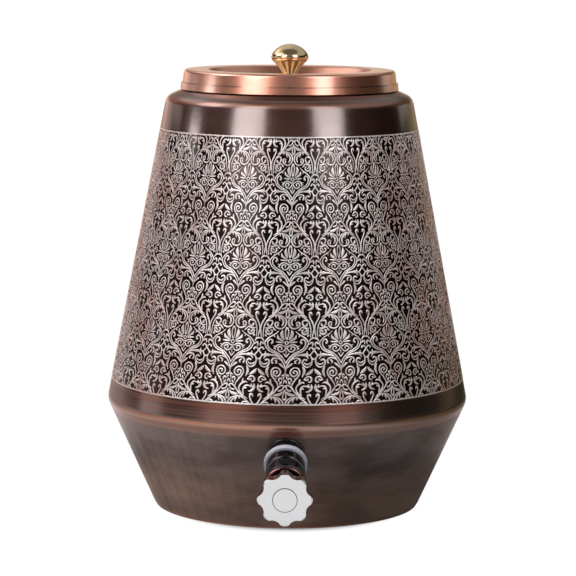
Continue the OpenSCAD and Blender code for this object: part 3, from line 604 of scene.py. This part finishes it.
def cut_runs(line, low, high):
    """The pieces of a line of (x, y, width) whose y lies between low and high."""
    runs, run = [], []
    for i, point in enumerate(line):
        if i:
            last = line[i - 1]
            ends = sorted((edge - last[1]) / (point[1] - last[1]) for edge in (low, high)
                          if (last[1] - edge) * (point[1] - edge) < 0)
            for t in ends:
                run.append(last + t * (point - last))
                if not low <= point[1] <= high or len(ends) == 2:
                    runs.append(run)
                    run = []
        if low <= point[1] <= high:
            run.append(point)
    runs.append(run)
    return [np.array(r) for r in runs if len(r) > 1]


print("the first stroke's", len(HALF_TILE[0][1]) // 2, "points become", len(smooth(HALF_TILE[0][1])))

# %% [markdown]
# ## One flat column
# Each stroke becomes a low ridge with its width across it. The column is laid out flat, with x in tiles, y in
# metres up the wall and z the relief. The rows reach past both ends of the band, and the cut trims them.

# %% Flat column
ROWS = range(-3, 4)


def ridge(run, verts, faces):
    """Adds a closed low ridge along a run of (x in tiles, y, width)."""
    flat = run[:, :2] * (TILE_W, 1.0)
    along = np.gradient(flat, axis=0)
    along /= np.linalg.norm(along, axis=1)[:, None] + 1e-12
    side = np.column_stack([-along[:, 1], along[:, 0]]) * run[:, 2:] / 2
    start = len(verts)
    for p, s in zip(flat, side):
        for q, up in ((p + s, -LINE_SUNK), (p, LINE_UP), (p - s, -LINE_SUNK)):
            verts.append((q[0] / TILE_W, min(max(q[1], 0.0), BAND_SLANT), up))
    for i in range(len(flat) - 1):
        a, b, c = (start + 3 * i + k for k in range(3))
        faces += [(a, b, b + 3, a + 3), (b, c, c + 3, b + 3), (c, a, a + 3, c + 3)]
    last = start + 3 * (len(flat) - 1)
    faces += [(start, start + 2, start + 1), (last, last + 1, last + 2)]


verts, faces = [], []
for kind, points, widths in HALF_TILE:
    curve = smooth(points)
    wide = np.interp(np.linspace(0, 1, len(curve)), np.linspace(0, 1, len(widths)), widths) * TILE_W / 100
    for row in ROWS:
        up = ROSETTE_UP - (row + curve[:, 1] / 100) * PERIOD
        for mirror in (1, -1):
            line = np.column_stack([mirror * curve[:, 0] / 100, up, wide])
            for run in cut_runs(line, 0.0, BAND_SLANT):
                ridge(run, verts, faces)
column = bpy.data.meshes.new("flat column")
column.from_pydata(verts, [], faces)
print("flat column:", len(verts), "points,", len(faces), "faces")

# %% [markdown]
# ## The wrap
# Now the flat column is repeated and wrapped. The tree lays the columns side by side, turns x into an angle
# and y into a height up the slanted wall, and moves the relief out along the wall's normal. The columns on
# the real band lean a little, so the angle also grows with the height.

# %% Wrap tree
WRAP_INPUTS = {
    "Geometry": "Geometry", "Columns": "Int", "First column": "Int", "Columns round": "Float",
    "Start angle": "Float", "Lean": "Float", "Foot radius": "Float", "Foot height": "Float",
    "Lean height": "Float", "Wall tilt": "Float", "Material": "Material"}


def wrap_tree():
    tree = bpy.data.node_groups.new("damask wrap", "GeometryNodeTree")
    for name, kind in WRAP_INPUTS.items():
        tree.interface.new_socket(name, in_out="INPUT", socket_type="NodeSocket" + kind)
    tree.interface.new_socket("Geometry", in_out="OUTPUT", socket_type="NodeSocketGeometry")
    head = tree.nodes.new("NodeGroupInput")
    tail = tree.nodes.new("NodeGroupOutput")
    get = {o.name: Sock(tree, o) for o in head.outputs if o.name}
    first = join(tree, get["First column"], 0.0, 0.0)
    line = make(tree, "GeometryNodeMeshLine",
                {"Count": get["Columns"], "Start Location": first, "Offset": (1.0, 0.0, 0.0)})
    spread = make(tree, "GeometryNodeInstanceOnPoints", {"Points": line, "Instance": get["Geometry"]})
    real = make(tree, "GeometryNodeRealizeInstances", {0: spread})
    x, up, out = split(tree, make(tree, "GeometryNodeInputPosition"))
    lean = (up - get["Lean height"]) * get["Lean"]
    angle = x * (2 * math.pi) / get["Columns round"] + get["Start angle"] + lean
    tilt = get["Wall tilt"]
    radius = get["Foot radius"] - up * tilt.sin() + out * tilt.cos()
    height = get["Foot height"] + up * tilt.cos() + out * tilt.sin()
    there = join(tree, radius * angle.sin(), -(radius * angle.cos()), height)
    moved = make(tree, "GeometryNodeSetPosition", {"Geometry": real, "Position": there})
    done = make(tree, "GeometryNodeSetMaterial", {"Geometry": moved, "Material": get["Material"]})
    tree.links.new(done.out, tail.inputs[0])
    return tree


WRAP = wrap_tree()
print("wrap tree:", len(WRAP.nodes), "nodes,", len(WRAP_INPUTS), "inputs")

# %% [markdown]
# ## Round the cone
# The tree is run four times, for five columns each, so that no piece of the relief gets too large. The relief
# is part of the wall and stays with the vessel. Only its faces blend smoothly; the sharp foot of each ridge
# is kept.

# %% Damask pieces
SHARE = 5
START_TURN, LEAN = math.radians(0.92), 0.3
SHARP = math.radians(60)


def add_object(name, data):
    thing = bpy.data.objects.new(name, data)
    bpy.context.scene.collection.objects.link(thing)
    return thing


def run_tree(name, mesh, tree, values):
    """Runs a geometry tree on a mesh and returns the result as a plain object."""
    source = add_object(name + " source", mesh)
    modifier = source.modifiers.new("tree", "NODES")
    modifier.node_group = tree
    for item in tree.interface.items_tree:
        if item.in_out == "INPUT" and item.name in values:
            modifier[item.identifier] = values[item.name]
    ready = source.evaluated_get(bpy.context.evaluated_depsgraph_get())
    made = bpy.data.meshes.new_from_object(ready)
    source.modifiers.remove(modifier)
    bpy.data.objects.remove(source)
    made.name = name
    return add_object(name, made)


def keep_on_vessel(piece):
    """Smooths a piece of the relief and fixes it to the vessel."""
    piece.data.shade_smooth()
    piece.data.set_sharp_from_angle(angle=SHARP)
    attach(piece, "vessel")


for part in range(COLUMNS // SHARE):
    piece = run_tree(f"damask_{part + 1}", column, WRAP, {
        "Columns": SHARE, "First column": part * SHARE - SHARE // 2, "Columns round": float(COLUMNS),
        "Start angle": START_TURN, "Lean": LEAN, "Foot radius": BAND_FOOT_R, "Foot height": BAND_LOW,
        "Lean height": ROSETTE_UP, "Wall tilt": TILT, "Material": ETCHED})
    keep_on_vessel(piece)
    print(piece.name, "triangles:", sum(len(p.vertices) - 2 for p in piece.data.polygons))

# %% [markdown]
# ## Border lines
# A thin bright line closes the band above and below, where the etched skin ends. A lathe would score it
# while the shell is still on its former, so each is one ring, turned from a low three-cornered profile.

# %% Border lines
BORDER_HALF = 0.00045


def on_wall(slant, out):
    """Radius and height of a place so far up the slanted wall and so far out from it."""
    return (BAND_FOOT_R - slant * math.sin(TILT) + out * math.cos(TILT),
            BAND_LOW + slant * math.cos(TILT) + out * math.sin(TILT))


def ring_mesh(name, profile, steps=256):
    """A ring turned about Z from a closed profile of (radius, height), listed so that faces look outward."""
    turns = np.arange(steps) * 2 * math.pi / steps
    verts = [(r * math.sin(t), -r * math.cos(t), z) for t in turns for r, z in profile]
    n = len(profile)
    faces = []
    for i in range(steps):
        j = (i + 1) % steps
        for k in range(n):
            m = (k + 1) % n
            faces.append((i * n + k, j * n + k, j * n + m, i * n + m))
    mesh = bpy.data.meshes.new(name)
    mesh.from_pydata(verts, [], faces)
    return add_object(name, mesh)


for name, up in (("band_line_low", 0.0), ("band_line_high", BAND_SLANT)):
    piece = ring_mesh(name, [on_wall(up - BORDER_HALF, -LINE_SUNK), on_wall(up, LINE_UP),
                             on_wall(up + BORDER_HALF, -LINE_SUNK)])
    piece.data.materials.append(ETCHED)
    keep_on_vessel(piece)
    print(piece.name, "at", round(on_wall(up, 0.0)[1] * 1000, 1), "mm up")

# %% [markdown]
# ## Floor
# The product stands on white paper. The camera sees the paper as plain white up to the tight shadow in front
# of the foot. The bowl mirrors the paper close to it, which lies in the vessel's shade; there the paper is
# coloured grey, and darker on the right, as painted shade. The kind of ray tells the shader which of the two
# it is for.

# %% Floor
FLOOR_Z = -0.0002
FLOOR_CORNERS = ((-9, -9), (9, -9), (9, 60), (-9, 60))
SHADOW_WIDE, SHADOW_DEEP, SHADOW_EDGE = 0.0925, 0.107, (0.80, 0.97)
SHADED_R = (0.13, 0.26)
floor_mesh = bpy.data.meshes.new("floor")
floor_mesh.from_pydata([(x, y, FLOOR_Z) for x, y in FLOOR_CORNERS], [], [(0, 1, 2, 3)])
floor = add_object("floor", floor_mesh)
paper = Finish("white paper", Roughness=1.0, IOR=1.2, Emission_Strength=1.0)
rays = paper.tree.nodes.new("ShaderNodeLightPath").outputs
straight = Sock(paper.tree, rays["Is Camera Ray"])
mirrored = Sock(paper.tree, rays["Is Glossy Ray"]) + Sock(paper.tree, rays["Is Transmission Ray"])
away = paper.away()
hug = ((paper.x / SHADOW_WIDE) ** 2.0 + (paper.y / SHADOW_DEEP) ** 2.0) ** 0.5
white = straight * hug.step(*SHADOW_EDGE) + mirrored.math("MINIMUM", 1.0) * away.step(*SHADED_R)
# Painted shade: the paper near the bowl is grey, and darker on the right.
shade = paper.mix(paper.x.step(-0.06, 0.06), rgb(0.40, 0.40, 0.40), rgb(0.17, 0.17, 0.17))
paper.set("Base Color", paper.mix(white, shade, rgb(0, 0, 0)))
floor_mesh.materials.append(paper.material)
print("paper floor", -FLOOR_Z * 1000, "mm under the foot")

# %% [markdown]
# ## The floor in the metal
# Polished metal mirrors more than the paper. Further off the floor is warm at the left, turns grey in the far
# left corner and brown nearer the middle, and is a dark olive at the right. These tones are given as glow,
# because the mirror must show them whatever light falls there.

# %% Mirrored floor
SHADE_GLOW, OPEN_GLOW = rgb(0.06, 0.06, 0.06), rgb(0.26, 0.22, 0.195)
OLIVE, DEEP_OLIVE, OLIVE_END = rgb(0.16, 0.145, 0.10), rgb(0.05, 0.05, 0.02), rgb(0.40, 0.27, 0.17)
WARM_FLOOR, GREY_FLOOR, BROWN_FLOOR = rgb(0.70, 0.48, 0.38), rgb(0.52, 0.46, 0.46), rgb(0.52, 0.29, 0.20)
glow = mirrored * (1.0 - away.step(0.11, 0.16)) * (1.0 - paper.x.step(-0.04, 0.06))
dim = paper.mix(glow, SHADE_GLOW, OPEN_GLOW)
far = paper.mix(paper.x.step(0.08, 0.3) * mirrored, rgb(1, 1, 1), OLIVE)
far = paper.mix((1.0 - paper.x.step(-0.4, -0.2)) * mirrored, far, WARM_FLOOR)
at_right = paper.mix(away.step(2.5, 5.0), DEEP_OLIVE, OLIVE_END)
at_left = paper.mix((paper.x / (away + 0.01)).step(-0.54, -0.44), GREY_FLOOR, BROWN_FLOOR)
distant = paper.mix(paper.x.step(-0.1, 0.1), at_left, at_right)
far = paper.mix(away.step(0.45, 0.8) * mirrored, far, distant)
paper.set("Emission Color", paper.mix(white, dim, far))
print("mirrored floor:", len(paper.tree.nodes), "nodes")

# %% [markdown]
# ## The room all round
# The room is what polished metal mirrors: low walls behind the vessel, warm at the left and brown at the
# right, a light stretch at the left and dim walls in front. Higher up it is bright at the left, dim in front
# and in between elsewhere. Each list below gives a colour for each azimuth, with 0 in front.

# %% Room all round
WALLS = [(-180, 0.34, 0.26, 0.20), (-160, 0.46, 0.31, 0.24), (-142, 0.24, 0.19, 0.18),
         (-125, 0.025, 0.02, 0.02), (-110, 0.03, 0.025, 0.025), (-104, 0.22, 0.21, 0.21),
         (-90, 0.22, 0.21, 0.21), (-82, 0.05, 0.05, 0.05), (-62, 0.05, 0.05, 0.05), (-45, 0.18, 0.10, 0.08),
         (-28, 0.10, 0.06, 0.05), (-10, 0.04, 0.04, 0.04), (12, 0.04, 0.04, 0.04), (34, 0.14, 0.075, 0.06),
         (52, 0.05, 0.04, 0.04), (65, 0.016, 0.015, 0.014), (90, 0.012, 0.011, 0.01),
         (107, 0.012, 0.011, 0.009), (128, 0.045, 0.04, 0.026), (150, 0.13, 0.105, 0.055),
         (180, 0.34, 0.26, 0.20)]
SKY = [(-180, 0.58, 0.52, 0.48), (-170, 0.56, 0.52, 0.51), (-150, 0.66, 0.62, 0.61), (-140, 1.15, 1.09, 1.06),
       (-62, 1.15, 1.09, 1.06), (-45, 0.20, 0.19, 0.18), (45, 0.20, 0.19, 0.18), (62, 0.40, 0.38, 0.36),
       (150, 0.40, 0.38, 0.36), (170, 0.46, 0.42, 0.39), (180, 0.58, 0.52, 0.48)]
world = bpy.data.worlds.new("studio")
bpy.context.scene.world = world
world.use_nodes = True
wt = world.node_tree
wt.nodes.clear()
dx, dy, dz = split(wt, make(wt, "ShaderNodeTexCoord", out="Generated"))
turn = dx.math("ARCTAN2", -dy) / (2 * math.pi) + 0.5


def all_round(stops):
    """A colour for each azimuth, from stops of (azimuth, red, green, blue)."""
    ramp = wt.nodes.new("ShaderNodeValToRGB")
    ramp.color_ramp.interpolation = "EASE"
    while len(ramp.color_ramp.elements) < len(stops):
        ramp.color_ramp.elements.new(0.5)
    for element, (azimuth, *level) in zip(ramp.color_ramp.elements, stops):
        element.position = (azimuth + 180) / 360
        element.color = (*level, 1.0)
    put(wt, ramp.inputs[0], turn)
    return Sock(wt, ramp.outputs[0])


walls, sky = all_round(WALLS), all_round(SKY)
print("room with", len(WALLS), "stops, sky with", len(SKY))

# %% [markdown]
# ## The room by height
# The walls are bright near the floor and darken further up, lower down at the sides than in front. Two low
# warm panels stand under the soft boxes. Over them the sky takes over, with a duller ceiling behind at the
# left and a dark one in front. Heights are sines of the angle above level. The camera itself sees plain
# white.

# %% Room by height
WALL_TOP, SIDE_DROP, SIDES = 0.17, 0.065, (50, 80)
LOW_GAIN, SIDE_GAIN_LOSS = 5.5, 3.0
PANELS, PANEL_FADE, PANEL_TONE = ((-51, -25, 1.0), (21, 46, 0.8)), 3, rgb(1.0, 0.70, 0.62)
SKY_FROM, CEILING_FROM, DARK_FROM = (0.34, 0.50), (0.68, 0.78), (0.80, 0.90)
CEILING, DARK_CEILING = rgb(0.55, 0.50, 0.46), rgb(0.12, 0.11, 0.10)
degrees = turn * 360.0 - 180.0
sides = abs(degrees).step(*SIDES)
over = dz - WALL_TOP + sides * SIDE_DROP
gain = 1.0 + (LOW_GAIN - sides * SIDE_GAIN_LOSS) * (1.0 - over.step(-0.015, 0.008))
low = make(wt, "ShaderNodeVectorMath", {0: walls, "Scale": gain}, operation="SCALE")
panels = 0.0
for start, stop, share in PANELS:
    rise, fall = (degrees.step(edge - PANEL_FADE, edge + PANEL_FADE) for edge in (start, stop))
    panels = panels + (rise - fall) * share
room = mix(wt, panels * (dz.step(0.0, 0.04) - over.step(0.002, 0.022)), low, PANEL_TONE)
room = mix(wt, dz.step(*SKY_FROM), room, sky)
room = mix(wt, dz.step(*CEILING_FROM) * (1.0 - degrees.step(-108, -84)), room, CEILING)
room = mix(wt, dz.step(*DARK_FROM) * (1.0 - dy.step(0.1, 0.3)), room, DARK_CEILING)
camera_ray = make(wt, "ShaderNodeLightPath", out="Is Camera Ray")
background = make(wt, "ShaderNodeBackground", {0: mix(wt, camera_ray, room, rgb(1, 1, 1))})
wt.links.new(background.out, wt.nodes.new("ShaderNodeOutputWorld").inputs[0])
print("room of", len(wt.nodes), "nodes")

# %% [markdown]
# ## Soft boxes
# Two tall soft boxes stand in front at either side. The dark skin mirrors each as a bright streak, with shade
# between them. Their low edges are set so that the streaks fade out down the cone. A third box lights the
# left side from high up. Five small cards stand close to the lid, level with it, and give its copper the
# broad highlights.

# %% Soft boxes
BOXES = [  # name, azimuth, distance, low edge, high edge, width, level
    ("left box", -36, 1.6, 0.59, 1.90, 0.80, 3.1),
    ("right box", 36, 1.6, 0.68, 1.90, 0.80, 2.7),
    ("side box", -85, 1.6, 0.95, 1.90, 0.80, 3.0),
    ("left card", -38, 0.45, 0.335, 0.38, 0.17, 1.3),
    ("right card", 34, 0.47, 0.335, 0.38, 0.14, 2.9),
    ("side card", -83, 0.35, 0.298, 0.322, 0.07, 3.6),
    ("rear card", -111, 0.35, 0.298, 0.322, 0.09, 0.5),
    ("far card", 118, 0.35, 0.30, 0.34, 0.12, 0.45)]
for name, azimuth, distance, low_edge, high_edge, width, level in BOXES:
    light = bpy.data.lights.new(name, "AREA")
    light.shape = "RECTANGLE"
    light.size, light.size_y = width, high_edge - low_edge
    light.energy = level * math.pi * width * (high_edge - low_edge)
    lamp = add_object(name, light)
    a = math.radians(azimuth)
    lamp.location = (distance * math.sin(a), -distance * math.cos(a), (low_edge + high_edge) / 2)
    lamp.rotation_euler = (math.radians(90), 0, a)
print("soft boxes and cards:", len(BOXES))

# %% [markdown]
# ## Camera
# The lens and the place were worked out from the ellipses of the foot, the belly, the lid and the band's
# edges in the photograph.

# %% Camera
LENS, SENSOR = 165.72, 36.0
EYE, LOOK_DOWN, ROLL, PAN = (0.00956, -1.82607, 0.3901), 7.49, -0.45, 0.36
camera = bpy.data.cameras.new("camera")
camera.lens, camera.sensor_width = LENS, SENSOR
eye = add_object("camera", camera)
eye.location = EYE
eye.rotation_euler = (math.radians(90 - LOOK_DOWN), math.radians(ROLL), math.radians(PAN))
bpy.context.scene.camera = eye
bpy.context.scene.view_settings.view_transform = "Standard"
print("camera at", EYE, "with a lens of", LENS, "mm")
